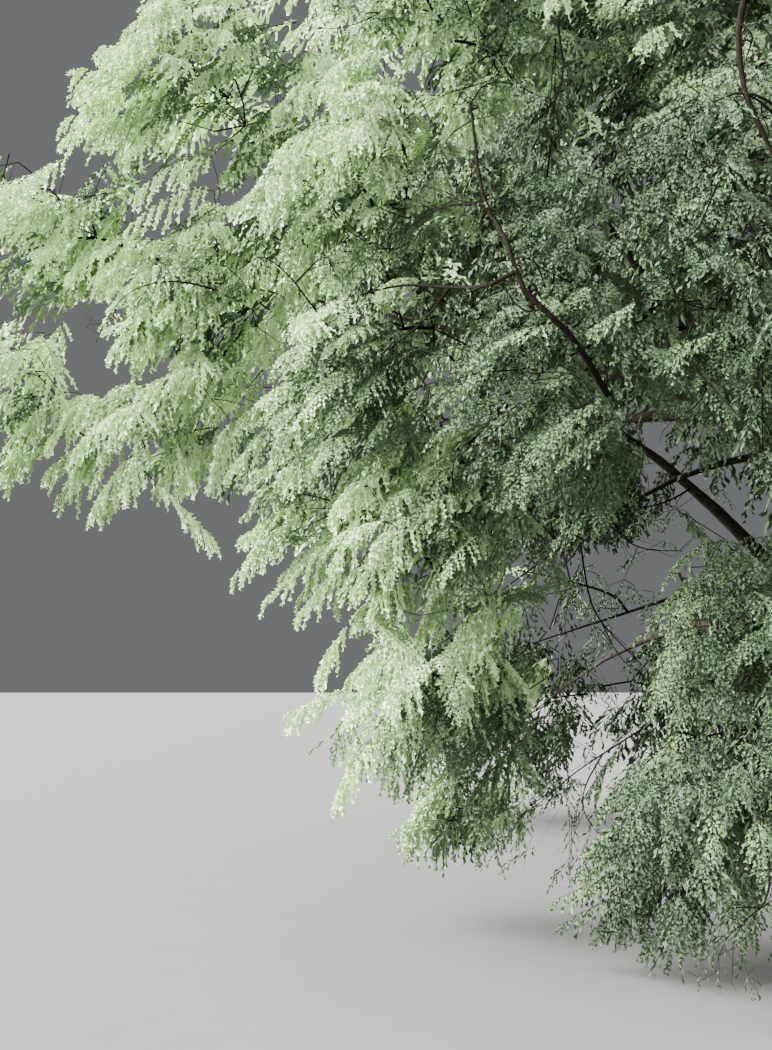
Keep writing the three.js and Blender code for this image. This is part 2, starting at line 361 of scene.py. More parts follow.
def crown_reaches(count=25, band=0.7):
    """Heights, and how far the crown reaches from its axis at each."""
    points = np.concatenate([node_shape(node)[0] for node in MASSES])
    reach = norm(points[:, :2] - trunk_axis(points[:, 2]), axis=1)
    levels = np.linspace(0, points[:, 2].max(), count)
    return levels, [reach[np.abs(points[:, 2] - level) < band].max() for level in levels]


LEVELS, REACHES = crown_reaches()


def reach_share(points):
    """How far out each place is, as a share of the crown's reach at its height."""
    reach = norm(points[:, :2] - trunk_axis(points[:, 2]), axis=1)
    return reach / np.interp(points[:, 2], LEVELS, REACHES)


# The photograph's frame.


def from_photo(places):
    """Real places for (across, down, depth), in the photograph's pixels and in metres ahead."""
    across, down, depth = np.array(places, float).T
    right = (across - PHOTO_WIDTH / 2) / FOCAL * depth
    rise = (PHOTO_HEIGHT / 2 - down) / FOCAL * depth
    points = CAMERA_PLACE + depth[:, None] * AHEAD + rise[:, None] * ABOVE
    points[:, 0] += right
    return points


def photo_place(points):
    """Places across and up the photograph, as shares of half its size, and depths."""
    away = points - CAMERA_PLACE
    depth = away @ AHEAD
    pixels = FOCAL / depth
    return away[:, 0] * pixels / (PHOTO_WIDTH / 2), away @ ABOVE * pixels / (PHOTO_HEIGHT / 2), depth


def tree_of(nodes):
    points, corners, first = [], [], 0
    for node in nodes:
        node_points, node_corners = node_shape(node)
        points.append(node_points)
        corners.append(node_corners + first)
        first += len(node_points)
    return BVHTree.FromPolygons(np.concatenate(points).tolist(), np.concatenate(corners).tolist())


CROWN = tree_of(MASSES)


def foliage_before(place, walls=12, step=0.0005):
    """Metres of foliage between the camera and a place."""
    start = Vector(place)
    away = Vector(CAMERA_PLACE) - start
    length = away.length
    away.normalize()
    gone, total = 0.0, 0.0
    for _ in range(walls):
        spot, normal, _, gap = CROWN.ray_cast(start + away * gone, away, length - gone)
        if spot is None or total > SEEN_THROUGH + HIDDEN_BLEND:
            break
        if normal.dot(away) > 0:
            total += gap
        gone += gap + step
    return total


def seen_scale(depth):
    """How large sprays in plain sight are at each depth."""
    near = depth / FINE_DEPTH
    return np.clip(np.where(near < 1, near, 1 + FAR_GROWTH * (near - 1)), FINEST, COARSEST)


def top_scale(points):
    """The largest scale at each place: sprays get smaller to the tip of the tree."""
    return TOP_SCALE + np.maximum(CAD_BOX[1][2] - points[:, 2], 0)


def shade_of(points, scale):
    """How much darker, as painted shade, sprays are that show through the gaps between those before them.
    """
    near = seen_scale(photo_place(points)[2])
    hidden = ramp((scale - near) / (COARSEST - near), 0, HIDDEN_SHARE)
    return HIDDEN_SHADE_TONE * ramp(hidden, 0, HIDDEN_BLENDS[0]) * ramp(1 - hidden, 0, HIDDEN_BLENDS[1])


def spray_scale(points, hidden_share=HIDDEN_SHARE):
    """How large the sprays are at each place: as far off as they are seen, and out of sight larger."""
    across, up, depth = photo_place(points)
    near = seen_scale(depth)
    share = ramp(np.maximum(np.abs(across), np.abs(up)), FRAME_MARGIN, EDGE_BLEND) ** EDGE_POWER
    for row in np.flatnonzero(share < 1):
        hidden = ramp(foliage_before(points[row]), SEEN_THROUGH, HIDDEN_BLEND)
        share[row] = max(share[row], hidden_share * hidden)
    return np.minimum(near + (COARSEST - near) * share, top_scale(points))


# Wood: a network of nodes that grows on from the limbs.


class Wood:
    def __init__(self):
        self.places = np.empty((0, 3))
        self.parents = []
        self.runs = np.empty(0)
        self.loads = []
        self.is_limb = []

    def add(self, place, parent, is_limb=False):
        run = 0.0
        if parent is not None:
            run = self.runs[parent] + norm(place - self.places[parent])
        self.places = np.vstack([self.places, place])
        self.parents.append(parent)
        self.runs = np.append(self.runs, run)
        self.loads.append(0)
        self.is_limb.append(is_limb)
        return len(self.parents) - 1

    def heading(self, node):
        parent = self.parents[node]
        if parent is None:
            return UP
        return unit(self.places[node] - self.places[parent])

    def carry(self, node):
        while node is not None and not self.is_limb[node]:
            self.loads[node] += 1
            node = self.parents[node]

    def nearest(self, place):
        return int(np.argmin(norm(self.places - place, axis=1)))


def run_of(line):
    """How far along a line each of its places is."""
    steps = norm(np.diff(line, axis=0), axis=1)
    return np.concatenate([[0], np.cumsum(steps)])


def places_at(at, run, line):
    return np.stack([np.interp(at, run, line[:, i]) for i in range(3)], axis=1)


def resampled(line, spacing):
    run = run_of(line)
    return places_at(np.linspace(0, run[-1], max(2, int(round(run[-1] / spacing)) + 1)), run, line)


def add_limb(wood, line, first):
    node = first
    for place in resampled(line, LIMB_NODE_SPACING):
        node = wood.add(place, node, is_limb=True)


def limb_wood(lines):
    wood = Wood()
    add_limb(wood, TRUNK_LINE, None)
    for line in lines:
        add_limb(wood, line, wood.nearest(line[0]))
    return wood


def grow_to(wood, place, parent, spacing, arch):
    """A chain of nodes from a parent to a place. Returns the chain, the parent first."""
    start = wood.places[parent]
    length = norm(place - start)
    count = max(1, int(round(length / spacing)))
    chain = [parent]
    for step in range(1, count + 1):
        share = step / count
        point = start + (place - start) * share
        point = point + UP * (arch * length * math.sin(math.pi * share))
        if step < count:
            point = point + random.normal(0, WIGGLE * spacing, 3)
        chain.append(wood.add(point, chain[-1]))
    return chain


def best_parent(wood, place, first, root):
    """The node, among those from first on or the root, from which a twig to a place is cheapest."""
    nodes = np.append(np.arange(first, len(wood.parents)), root)
    away = place - wood.places[nodes]
    distance = norm(away, axis=1)
    run = wood.runs[nodes] - wood.runs[root]
    headings = np.array([wood.heading(node) for node in nodes])
    bend = 1 - np.sum(unit(away) * headings, axis=1)
    cost = distance * (1 + BEND_COST * bend) + RUN_COST * run
    return int(nodes[np.argmin(cost)])


# Places of the sprays.


class Sprays:
    """Arrays, one row for each spray."""

    def __init__(self, base, heading, length, droop, scale, tone, finger, hang):
        self.base, self.heading = base, heading
        self.length, self.droop = length, droop
        self.scale, self.tone = scale, tone
        self.finger, self.hang = finger, hang

    def pick(self, chosen):
        return Sprays(*(values[chosen] for values in vars(self).values()))

    def axis(self, shares):
        """Points along each spray's axis, (sprays, shares, 3)."""
        return drooping(self.base, self.heading, self.length, self.droop, shares)


def drooping(base, heading, length, droop, shares):
    shares = np.asarray(shares)[None, :, None]
    fall = DOWN * droop[:, None, None]
    return base[:, None] + length[:, None, None] * (heading[:, None] * shares + fall * shares ** 2)


def joined(groups):
    return Sprays(*(np.concatenate([vars(group)[key] for group in groups]) for key in vars(groups[0])))


def surface_samples(node, density):
    """Places and normals spread over a mass, so many to a square metre."""
    points, corners = node_shape(node)
    a, b, c = points[corners[:, 0]], points[corners[:, 1]], points[corners[:, 2]]
    normals = np.cross(b - a, c - a)
    area = norm(normals, axis=1)
    count = int(area.sum() / 2 * density)
    chosen = random.choice(len(corners), count, p=area / area.sum())
    u, v = random.random(count), random.random(count)
    folded = u + v > 1
    u, v = np.where(folded, 1 - u, u), np.where(folded, 1 - v, v)
    places = a[chosen] + (b - a)[chosen] * u[:, None] + (c - a)[chosen] * v[:, None]
    return places, unit(normals[chosen])


def thinned(places, spacings):
    """The rows left when each is dropped that lies within its spacing of one kept before it."""
    kept = []
    held = np.empty_like(places)
    for row, place in enumerate(places):
        gaps = np.sum((held[:len(kept)] - place) ** 2, axis=1)
        if not kept or gaps.min() > spacings[row] ** 2:
            held[len(kept)] = place
            kept.append(row)
    return np.array(kept, int)


def is_covered(place, normal, gap=0.03, reach=0.5):
    start = Vector(place + normal * gap)
    return CROWN.ray_cast(start, Vector(normal), reach)[0] is not None


def tones_of(places, normals):
    """A tone from 0, dark, to 1, light: lighter above and on the sunlit left of the crown, as painted
    sunlight.
    """
    away = outward(places)
    bearing = np.degrees(np.arctan2(away[:, 1], away[:, 0])) % 360
    sunlit = ramp(SUNLIT_END - bearing, 0, SUNLIT_BLEND) * ramp(bearing, SUNLIT_START, SUNLIT_RISE)
    sunlit = sunlit * ramp(reach_share(places), SHADED_REACH, SHADED_BLEND)
    patches = np.array([noise.noise(Vector(place) / PATCH_SIZE + PATCH_SHIFT) for place in places])
    # Painted sunlight on the tops and the sunlit left; the patches and the spread vary at random.
    tone = SHADED_TONE + TOP_LIGHT_TONE * normals[:, 2] + SUNLIT_TONE * sunlit + PATCH_TONE * patches
    return tone + random.normal(0, TONE_SPREAD, len(places))


def sprays_to(tips, normals, scale, tone):
    """Sprays that reach outwards and droop to their tips."""
    count = len(tips)
    heading = SPRAY_OUTWARD * outward(tips) + SPRAY_SQUARE * normals * FLATTER + SPRAY_DOWNWARD * DOWN
    heading = unit(heading + random.normal(0, SPRAY_SPREAD, (count, 3)))
    heading[:, 2] = np.clip(heading[:, 2], *SPRAY_SLOPES)
    heading = unit(heading)
    length = between(SPRAY_LENGTHS, count) * scale
    droop = between(SPRAY_DROOPS, count)
    base = tips - length[:, None] * (heading + DOWN * droop[:, None])
    base[:, 2] = np.maximum(base[:, 2], BASE_HEIGHT)
    room = (base[:, 2] - TIP_HEIGHT) / length + heading[:, 2]
    droop = np.minimum(droop, np.maximum(room, -MOST_RISE))
    return Sprays(base, heading, length, droop, scale, tone, np.ones(count), between(HANGS, count))


def outer_sprays(node):
    places, normals = surface_samples(node, CANDIDATES / SPRAY_SPACING ** 2)
    kept = thinned(places, np.full(len(places), SPRAY_SPACING * FINEST))
    places, normals = places[kept], normals[kept]
    scale = spray_scale(places - normals * SKIN)
    kept = thinned(places, SPRAY_SPACING * scale ** SPACING_POWER)
    places, normals, scale = places[kept], normals[kept], scale[kept]
    covered = np.array([is_covered(place, normal) for place, normal in zip(places, normals)])
    stays = ~covered | (random.random(len(places)) < COVERED_SHARE)
    places, normals, scale, covered = places[stays], normals[stays], scale[stays], covered[stays]
    count = len(places)
    depth = np.where(random.random(count) < SUNK_SHARE, between(SUNK_DEPTHS, count), 0.0) * scale
    # Painted shade: sunk, covered and half-hidden sprays are darker.
    tone = tones_of(places, normals) - SUNK_SHADE_TONE * depth - COVERED_SHADE_TONE * covered - shade_of(places, scale)
    sprays = sprays_to(places - normals * (depth + TIP_INSET * scale)[:, None], normals, scale, tone)
    is_cord = (tone > CORD_TONE) & (scale < FINE_SCALE) & (random.random(count) < CORD_SHARE)
    sprays.finger = np.where(is_cord, LONG_FINGER, 1.0)
    sprays.hang = np.where(is_cord, between(CORD_HANGS, count), sprays.hang)
    return sprays


def plumes(node, share=0.06, out=0.04, longer=1.3, flattest=0.6, lowest=0.7):
    """Long plumes with long fingers, where the mass is seen close to."""
    places, normals = surface_samples(node, share / SPRAY_SPACING ** 2)
    scale = spray_scale(places - normals * SKIN)
    seen = (scale < FINE_SCALE) & (normals[:, 2] < flattest) & (places[:, 2] > lowest)
    places, normals, scale = places[seen], normals[seen], scale[seen]
    if not len(places):
        return None
    tips = places + normals * out
    tone = tones_of(places, normals) + PLUME_TONE + LIGHTER.get(node, 0)
    sprays = sprays_to(tips, normals, scale * longer, tone)
    sprays.scale = scale
    sprays.finger = np.where(tone > CORD_TONE, LONG_FINGER, 1.0)
    sprays.hang = np.where(tone > CORD_TONE, between(CORD_HANGS, len(places)), sprays.hang)
    return sprays


def over_surface(tree, places):
    """How far each place is from a surface, and how far over it, below 0 on the inside."""
    rows = []
    for place in map(Vector, places):
        spot, normal, _, gap = tree.find_nearest(place)
        rows.append((gap, (place - spot).dot(normal)))
    return np.array(rows).T


def inner_sprays(node, depth=0.2, candidates=4, least=8):
    """Sprays spread through the inside of a mass, darkened as painted shade."""
    points, corners = node_shape(node)
    tree = BVHTree.FromPolygons(points.tolist(), corners.tolist())
    low, high = points.min(0), points.max(0)
    count = int(candidates * np.prod(high - low) / INNER_SPACING ** 3) + least
    places = random.uniform(low, high, (count, 3))
    gap, height = over_surface(tree, places)
    places = places[(gap > depth) & (height < 0)]
    places = places[thinned(places, np.full(len(places), INNER_SPACING))]
    if not len(places):
        return None
    scale = spray_scale(places, INNER_HIDDEN_SHARE)
    kept = thinned(places, INNER_SPACING * scale)
    places, scale = places[kept], scale[kept]
    normals = unit(random.normal(0, 1, places.shape) + outward(places))
    return sprays_to(places, normals, scale, tones_of(places, normals) - INNER_SHADE_TONE)


def is_bare(points):
    """Which places lie in the part of the photograph that shows limbs bare."""
    across, up, _ = photo_place(points)
    column = (1 + across) * PHOTO_WIDTH / 2
    row = (1 - up) * PHOTO_HEIGHT / 2
    is_across = (column > BARE_ACROSS[0]) & (column < BARE_ACROSS[1])
    return is_across & (row > BARE_DOWN[0]) & (row < BARE_DOWN[1])


def limb_sprays(line, reaches=(0.25, 0.5)):
    """Sprays along a bough, outside the open gap in which the limbs are bare."""
    places = resampled(line, LIMB_SPRAY_SPACING)[2:]
    places = places[~is_bare(places)]
    scale = spray_scale(places)
    kept = thinned(places, LIMB_SPRAY_SPACING * scale)
    places, scale = places[kept], scale[kept]
    along = unit(line[-1] - line[0])
    around = random.normal(0, 1, places.shape)
    around = unit(around - (around @ along)[:, None] * along)
    tips = places + around * (between(reaches, len(places)) * scale)[:, None]
    # Painted shade: sprays along the boughs are darker.
    return sprays_to(tips, around, scale, tones_of(places, around) - LIMB_SHADE_TONE)


def filling_sprays(candidates=6, start=0.45, end=0.78, lowest=0.9, gap=0.1, out=0.3):
    """Sprays between the masses round the trunk, where the photograph doesn't look."""
    low, high = (np.array(corner) for corner in CAD_BOX)
    spacing = FILLING_SPACING * COARSEST
    count = int(candidates * np.prod(high - low) / spacing ** 3)
    places = random.uniform(low, high, (count, 3))
    reach = norm(places[:, :2] - trunk_axis(places[:, 2]), axis=1)
    across, up, _ = photo_place(places)
    is_framed = np.maximum(np.abs(across), np.abs(up)) < FRAME_MARGIN
    near = (reach > start) & (reach_share(places) < end)
    places = places[near & (places[:, 2] > lowest) & ~is_framed]
    places = places[over_surface(CROWN, places)[1] > gap]
    places = places[thinned(places, np.full(len(places), spacing))]
    away = outward(places)
    # Painted shade: sprays between the masses are darker.
    tone = tones_of(places, away) - FILLING_SHADE_TONE
    return sprays_to(places + away * out, away, np.minimum(COARSEST, top_scale(places)), tone)


def mass_sprays(node):
    groups = [outer_sprays(node), inner_sprays(node)]
    sprays = joined([group for group in groups if group is not None])
    sprays.tone = sprays.tone + LIGHTER.get(node, 0)
    return sprays.pick(random.random(len(sprays.tone)) < OPENNESS.get(node, 1))


def grow_mass(wood, node, sprays):
    """Grows a leader into a mass and a chain of twigs to each spray. Returns the chains."""
    middle = node_shape(node)[0].mean(0)
    distance = norm(wood.places - middle, axis=1)
    root = int(np.argmin(distance + RUN_COST * wood.runs))
    first = len(wood.parents)
    leader = grow_to(wood, middle, root, NODE_SPACING, LEADER_ARCH)
    order = np.argsort(norm(sprays.base - wood.places[root], axis=1))
    chains = []
    for row in order:
        parent = best_parent(wood, sprays.base[row], first, root)
        spacing = NODE_SPACING * sprays.scale[row] ** 0.5
        chain = grow_to(wood, sprays.base[row], parent, spacing, TWIG_ARCH)
        wood.carry(chain[-1])
        chains.append((row, chain))
    return leader, chains


def grow_near(wood, sprays):
    """Grows a chain of twigs to each spray from the wood nearest to it."""
    chains = []
    for row in range(len(sprays.length)):
        parent = wood.nearest(sprays.base[row])
        chain = grow_to(wood, sprays.base[row], parent, NODE_SPACING, TWIG_ARCH)
        wood.carry(chain[-1])
        chains.append((row, chain))
    return chains


# Branches seen bare in the photograph: the radius at the start, and places across, down and ahead.
# Each grows on from the wood nearest to its first place, so a branch comes before its side branches.
BARE_BRANCHES = {
    "side_of_rising": (0.009, ((707, 502, 10.1), (670, 501, 9.7), (640, 509, 9.35), (615, 513, 9.1))),
    "loop_in_gap": (0.007, ((612, 522, 9.08), (617, 533, 9.0), (640, 550, 8.95), (682, 551, 9.0))),
    "thin_bow": (0.004, ((581, 484, 8.4), (567, 510, 8.4), (560, 537, 8.45), (552, 552, 8.5))),
    "fork_of_lowest": (0.011, ((640, 600, 9.5), (615, 594, 9.3), (562, 579, 8.9), (517, 570, 8.5))),
    "crossing": (0.008, ((567, 547, 8.8), (587, 590, 8.85), (597, 620, 8.85), (647, 670, 8.8))),
    "crossing_low": (0.005, ((600, 635, 8.85), (620, 660, 8.85), (645, 677, 8.85))),
    "end_of_lowest": (0.010, ((534, 642, 8.6), (517, 660, 8.45), (500, 685, 8.3), (475, 740, 8.1))),
    "whip_in_gap": (0.005, ((690, 712, 8.4), (655, 722, 8.4), (637, 727, 8.35), (602, 700, 8.3))),
    "low_arc": (0.006, ((605, 755, 7.9), (570, 775, 7.95), (557, 790, 8.0), (520, 817, 8.1))),
    "low_arc_side": (0.003, ((568, 778, 7.95), (565, 800, 7.95), (572, 817, 7.95))),
    "low_loop": (0.006, ((610, 768, 7.8), (582, 790, 7.75), (583, 815, 7.7), (605, 841, 7.6))),
    "front": (0.018, ((600, 352, 6.4), (572, 334, 6.14), (538, 305, 6.12), (516, 282, 6.2),
        (511, 245, 6.25), (484, 205, 6.62), (477, 165, 6.85), (474, 130, 7.0), (470, 104, 7.15))),
    "front_left": (0.013, ((518, 280, 6.2), (485, 288, 6.4), (446, 287, 6.85), (400, 284, 7.1),
        (360, 295, 7.1))),
    "front_left_low": (0.009, ((446, 288, 6.85), (430, 315, 7.0), (405, 338, 7.05), (380, 355, 7.0))),
    "front_left_high": (0.008, ((484, 205, 6.62), (442, 204, 6.95), (400, 233, 7.1))),
    "upper": (0.0045, ((475, 98, 7.2), (487, 79, 7.2), (525, 87, 7.1), (560, 110, 7.1))),
    "upper_side": (0.007, ((608, 46, 7.1), (567, 92, 7.0), (515, 140, 7.0))),
    "right_long": (0.009, ((735, 95, 5.75), (725, 154, 5.7), (717, 187, 5.7), (698, 229, 5.72))),
    "right_low": (0.010, ((800, 258, 5.65), (767, 271, 5.65), (733, 279, 5.68), (690, 325, 5.9))),
    "right_high": (0.008, ((790, 70, 5.85), (750, 87, 5.75), (708, 104, 5.85), (685, 118, 5.95))),
    "dark_right": (0.024, ((775, -70, 6.5), (762, -45, 6.35), (744, -5, 6.15), (737, 40, 5.95),
        (743, 86, 5.72), (750, 106, 5.66), (772, 153, 5.6), (800, 200, 5.6))),
    "right_hook": (0.007, ((700, 372, 6.25), (722, 398, 6.1), (744, 422, 5.9), (760, 440, 5.9))),
    "skirt_upright": (0.005, ((757, 640, 6.3), (735, 700, 6.4), (725, 732, 6.45), (720, 790, 6.1))),
    "skirt_side": (0.009, ((800, 885, 5.75), (772, 900, 5.7), (742, 922, 5.7))),
    "left_arm": (0.006, ((300, 240, 7.35), (270, 250, 7.5), (240, 268, 7.8), (215, 290, 7.85))),
    "left_bow": (0.006, ((215, 290, 7.85), (190, 282, 7.86), (160, 281, 7.87), (130, 290, 7.9),
        (109, 313, 7.9), (96, 343, 7.95))),
    "bright_twig": (0.007, ((318, 238, 7.35), (325, 252, 7.32), (333, 270, 7.3))),
}

# Plumes seen apart from the masses: across, down and ahead of the root of each, then of its tip.
PLUMES = {
    "high": ((150, 45, 8.7, 78, 92, 8.7), (170, 20, 8.7, 112, 50, 8.7)),
    "shelf": ((95, 198, 9.0, 20, 235, 9.0), (60, 192, 9.0, 5, 225, 9.0), (120, 215, 8.9, 62, 285, 8.9),
        (90, 215, 8.9, 28, 275, 8.9), (150, 222, 8.8, 98, 285, 8.8)),
    "shelf_sprout": ((112, 200, 8.9, 128, 158, 8.9),),
    "cluster": ((150, 292, 8.7, 112, 350, 8.7), (180, 298, 8.7, 135, 362, 8.7)),
    "left": ((48, 332, 8.9, 8, 362, 8.9), (45, 360, 8.9, 12, 412, 8.9), (42, 400, 8.9, 2, 470, 8.9)),
    "pendant": ((92, 392, 8.7, 48, 440, 8.7), (110, 420, 8.6, 70, 478, 8.6),
        (130, 455, 8.5, 92, 512, 8.5)),
    "pendant_low": ((150, 478, 8.4, 214, 540, 8.4),),
    "hanging": ((168, 428, 8.4, 192, 476, 8.4), (232, 418, 8.3, 212, 482, 8.3),
        (270, 425, 8.2, 230, 470, 8.2)),
    "bright": ((308, 442, 8.1, 254, 478, 8.1), (318, 470, 8.1, 262, 490, 8.1)),
    "drip": ((300, 502, 8.0, 244, 535, 8.0), (345, 532, 7.9, 268, 598, 7.9),
        (350, 560, 7.9, 300, 612, 7.9)),
    "curtain": ((350, 622, 7.9, 318, 672, 7.9), (348, 688, 7.9, 292, 712, 7.9),
        (360, 745, 7.9, 338, 796, 7.9), (500, 655, 7.9, 530, 692, 7.9), (512, 745, 7.8, 540, 788, 7.8)),
    "gap": ((548, 655, 8.3, 530, 690, 8.3),),
    "skirt": ((622, 745, 7.5, 588, 792, 7.5), (650, 760, 7.3, 605, 808, 7.3),
        (650, 845, 7.0, 572, 876, 7.0), (640, 868, 6.9, 552, 902, 6.9), (640, 885, 6.8, 560, 925, 6.8),
        (660, 895, 6.8, 595, 940, 6.8), (690, 905, 6.7, 640, 955, 6.7), (625, 815, 7.1, 585, 850, 7.1)),
}
# Plumes in front of the dark middle that catch the light, and others in the shade.
LIT_PLUMES = {
    "middle": ((608, 395, 6.5, 548, 432, 6.35), (618, 418, 6.5, 560, 462, 6.35),
        (590, 425, 6.5, 530, 452, 6.35), (520, 330, 6.5, 468, 362, 6.45),
        (500, 360, 6.55, 445, 400, 6.5), (640, 300, 6.2, 590, 330, 6.1)),
    "right": ((735, 185, 6.0, 682, 205, 5.95), (725, 330, 6.0, 672, 350, 5.95)),
}
SHADED_PLUMES = {
    "shaded": ((606, 140, 6.5, 572, 172, 6.4), (618, 158, 6.5, 580, 190, 6.4),
        (662, 192, 6.4, 622, 226, 6.3), (655, 212, 6.4, 612, 246, 6.3), (548, 92, 6.9, 505, 122, 6.8),
        (552, 112, 6.9, 512, 146, 6.8)),
}
LIT_PLUME_TONE = 0.42
SHADED_PLUME_TONE = 0.22


def photo_plumes(droops=(0.10, 0.25), hangs=(0.35, 0.8), coarsest=1.05):
    groups = [sum(table.values(), ()) for table in (PLUMES, LIT_PLUMES, SHADED_PLUMES)]
    ends = np.array([from_photo(np.reshape(plume, (2, 3))) for group in groups for plume in group])
    root, tip = ends[:, 0], ends[:, 1]
    droop = between(droops, len(root))
    length = norm(tip - root, axis=1)
    heading = (tip - root) / length[:, None] - DOWN * droop[:, None]
    scale = spray_scale(tip)
    tone = tones_of(tip, np.zeros_like(tip)) + PLUME_TONE
    tone[len(groups[0]):] = LIT_PLUME_TONE
    tone[len(groups[0]) + len(groups[1]):] = SHADED_PLUME_TONE
    hang = between(hangs, len(root))
    finger = np.where(tone > LONG_FINGER_TONE, LONG_FINGER, 1.0)
    return Sprays(root, heading, length, droop, np.minimum(scale, coarsest), tone, finger, hang)


# Meshes from arrays.


def make_piece(name, points, faces, material, smooth=False):
    data = bpy.data.meshes.new(name)
    data.vertices.add(len(points))
    data.vertices.foreach_set("co", points.astype(np.float32).ravel())
    data.loops.add(faces.size)
    data.loops.foreach_set("vertex_index", faces.astype(np.int32).ravel())
    data.polygons.add(len(faces))
    data.polygons.foreach_set("loop_start", np.arange(0, faces.size, faces.shape[1], dtype=np.int32))
    data.polygons.foreach_set("use_smooth", np.full(len(faces), smooth))
    data.update(calc_edges=True)
    data.materials.append(material)
    piece = bpy.data.objects.new(name, data)
    bpy.context.scene.collection.objects.link(piece)
    return piece


def square_to(headings, upright):
    """Two directions square to each heading, the first also to an upright one."""
    side = unit(np.cross(headings, np.array(upright)))
    return side, np.cross(side, headings)


def tubes(paths, radii, sides):
    """Round tubes along paths, (tubes, places, 3), as points and four-cornered faces."""
    count, places, _ = paths.shape
    side, up = square_to(unit(np.gradient(paths, axis=1)), (0.31, 0.17, 1.0))
    angle = np.arange(sides) * 2 * math.pi / sides
    ring = side[:, :, None] * np.cos(angle)[:, None] + up[:, :, None] * np.sin(angle)[:, None]
    points = paths[:, :, None] + ring * radii[:, :, None, None]
    place, turn = np.meshgrid(np.arange(places - 1), np.arange(sides), indexing="ij")
    after = (turn + 1) % sides
    low, high = place * sides, (place + 1) * sides
    quad = np.stack([low + turn, low + after, high + after, high + turn], axis=-1)
    quads = quad.reshape(1, -1, 4) + (np.arange(count) * places * sides)[:, None, None]
    return points.reshape(-1, 3), quads.reshape(-1, 4)


# Shoots and needles.


def shoots_of(sprays, count):
    """The shoots along each spray's axis, as sprays of their own."""
    rows = len(sprays.length)
    share = np.linspace(FIRST_SHOOT, 1.0, count)
    fall = sprays.droop[:, None, None] * DOWN
    tangent = unit(sprays.heading[:, None] + 2 * fall * share[None, :, None])
    side = unit(np.cross(tangent, UP))
    sign = np.where(np.arange(count) % 2, 1.0, -1.0)[None, :, None]
    spread = (1 - share ** 3)[None, :, None]
    hang = sprays.hang[:, None, None] * random.uniform(*HANG_SHARES, (rows, count, 1))
    heading = SHOOT_AHEAD * tangent + SHOOT_ASIDE * side * sign * spread + DOWN * hang
    heading = unit(heading + random.normal(0, SHOOT_SPREAD, (rows, count, 3)))
    profile = 0.42 + 0.75 * np.sin(math.pi * share ** 0.8)
    length = SHOOT_LENGTH * profile * random.uniform(*SHOOT_VARIATION, (rows, count))
    is_long = (random.random((rows, count)) < LONG_SHOOT_SHARE) & (sprays.scale[:, None] < FINE_SCALE)
    is_long = is_long & (sprays.finger[:, None] <= 1)
    length = length * np.where(is_long, LONG_SHOOT, 1.0)
    length = length * (sprays.scale * sprays.finger)[:, None]
    droop = random.uniform(*SHOOT_DROOPS, (rows, count))
    base, heading = sprays.axis(share).reshape(-1, 3), heading.reshape(-1, 3)
    shared = (sprays.scale, sprays.tone, sprays.finger, sprays.hang)
    return Sprays(base, heading, length.ravel(), droop.ravel(), *(np.repeat(row, count) for row in shared))


def tufts_of(shoots, count):
    """Tufts of needles round each shoot, one three-cornered face each, as their corners."""
    rows = len(shoots.length)
    is_cord = shoots.finger[0] > 1
    start = np.arange(count) / count
    end = np.minimum(start + TUFT_OVERLAP / count, 1.0)
    low, high = shoots.axis(start), shoots.axis(end)
    side, up = square_to(shoots.heading, (0.01, 0.02, 1.0))
    turn = random.uniform(0, 2 * math.pi, (rows, 1)) + WHORL_TURN * np.arange(count)
    turn = turn + random.normal(0, TURN_SPREAD, (rows, count))
    out = side[:, None] * np.cos(turn)[..., None] + up[:, None] * np.sin(turn)[..., None]
    profile = np.clip(1 - ((start - 0.45) / 0.62) ** 4, 0.1, 1)
    radius = CORD_RADIUS if is_cord else SHOOT_RADIUS * SHOOT_SLENDER
    reach = radius * shoots.scale[:, None] * profile * random.uniform(*TUFT_VARIATION, (rows, count))
    forward = unit(high - low) * (TUFT_FORWARD * reach)[..., None]
    tip = (low + high) / 2 + out * reach[..., None] + forward
    points = np.stack([low, high, tip], axis=2).reshape(-1, 3)
    if is_cord:
        points = np.concatenate([points, cores_of(shoots)])
    points[:, 2] = np.maximum(points[:, 2], LOWEST)
    return points


def cores_of(shoots):
    """Crossed blades along each cord-like shoot, two three-cornered faces each, as their corners."""
    ends = shoots.axis([0.0, 0.5, 0.97])
    side, up = square_to(shoots.heading, (0.01, 0.02, 1.0))
    radius = (CORE_SHARE * CORD_RADIUS * shoots.scale)[:, None]
    corners = []
    for blade in range(CORE_BLADES):
        turn = math.pi * blade / CORE_BLADES
        out = (side * math.cos(turn) + up * math.sin(turn)) * radius
        left, right = ends[:, 1] - out, ends[:, 1] + out
        corners.append(np.stack([ends[:, 0], left, right, left, ends[:, 2], right], axis=1))
    return np.concatenate(corners).reshape(-1, 3)


def needles(sprays):
    """The corners of all the tufts on the sprays."""
    corners = []
    finest = 0.0
    for coarsest, shoots, tufts, _ in DETAILS:
        fits = (sprays.scale > finest) & (sprays.scale <= coarsest)
        finest = coarsest
        for is_plume in (False, True):
            chosen = fits & ((sprays.finger > 1) == is_plume)
            if chosen.any():
                counts = CORD_DETAIL if is_plume else (shoots, tufts)
                corners.append(tufts_of(shoots_of(sprays.pick(chosen), counts[0]), counts[1]))
    return np.concatenate(corners) if corners else np.empty((0, 3))


# Materials.


def new_material(name, colour, roughness, gloss):
    material = bpy.data.materials.new(name)
    material.use_nodes = True
    shader = material.node_tree.nodes["Principled BSDF"]
    shader.inputs["Base Color"].default_value = (*colour, 1)
    shader.inputs["Roughness"].default_value = roughness
    shader.inputs["Specular IOR Level"].default_value = gloss
    return material, shader


def link(tree, source, output, target, socket):
    tree.links.new(source.outputs[output], target.inputs[socket])


